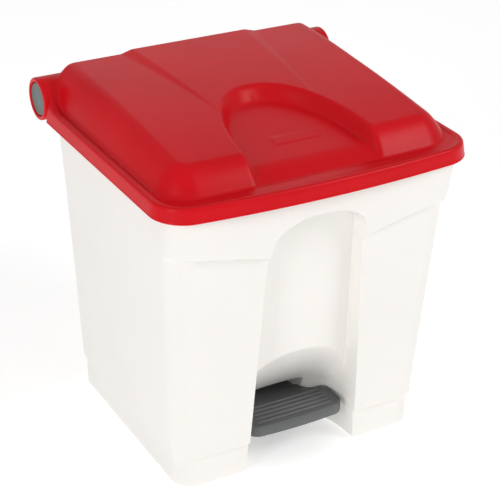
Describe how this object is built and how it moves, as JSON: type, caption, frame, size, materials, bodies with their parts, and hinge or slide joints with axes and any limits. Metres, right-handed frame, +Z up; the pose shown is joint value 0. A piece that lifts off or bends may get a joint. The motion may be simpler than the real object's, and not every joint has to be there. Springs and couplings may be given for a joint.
{
  "type": "pedal bin",
  "caption": "Step-on waste container: moulded body with a toe niche, a domed hinged lid, and a foot pedal that lifts the lid through a lever and an upright rod.",
  "frame": {"origin": "on the floor, under the middle of the lid's width and of the overall depth", "axes": "+X to the right seen from the front, +Y to the rear (hinge side), -Y the pedal side, +Z up"},
  "size_m": [0.41, 0.398, 0.454],
  "materials": {
    "body_white": "warm white polyethylene with a fine moulded satin texture",
    "lid_red": "saturated red moulded plastic with a soft broad sheen",
    "plug_grey": "grey-green moulded hinge plug, satin",
    "pedal_charcoal": "charcoal moulded plastic with ribs and a fine grain",
    "nylon": "natural nylon, slightly waxy",
    "foot_rubber": "black rubber, matt",
    "steel": "zinc-plated steel, dull"
  },
  "bodies": {
    "body": {"body_shell": "body_white", "hinge_pin_left": "plug_grey", "hinge_pin_right": "plug_grey", "pedal_axle": "steel", "axle_bush_left": "nylon", "axle_bush_right": "nylon", "axle_push_nut_left": "steel", "axle_push_nut_right": "steel", "rod_guide_upper": "nylon", "rod_guide_lower": "nylon", "foot_pad_front_left": "foot_rubber", "foot_pad_front_right": "foot_rubber", "foot_pad_rear_left": "foot_rubber", "foot_pad_rear_right": "foot_rubber"},
    "lid": {"lid_shell": "lid_red", "lid_lug_pin": "steel", "lid_lug_push_nut": "steel"},
    "pedal": {"pedal_lever": "pedal_charcoal", "lower_clevis_pin": "steel", "lower_push_nut": "steel"},
    "rod": {"lift_rod": "steel"}
  },
  "joints": [
    {"name": "lid_hinge", "type": "hinge", "parent": "body", "child": "lid", "pos_m": [0, 0.172, 0.405], "axis": [-1, 0, 0], "range_deg": [0, 80]},
    {"name": "pedal_pivot", "type": "hinge", "parent": "body", "child": "pedal", "pos_m": [0, -0.01, 0.034], "axis": [1, 0, 0], "range_deg": [0, 14]},
    {"name": "rod_pivot", "type": "hinge", "parent": "pedal", "child": "rod", "pos_m": [0, 0.143, 0.018], "axis": [-1, 0, 0], "range_deg": [0, 14]}
  ],
  "couplings": [
    {"joint": "pedal_pivot", "follows": "lid_hinge", "ratio": 0.175},
    {"joint": "rod_pivot", "follows": "lid_hinge", "ratio": 0.175}
  ]
}
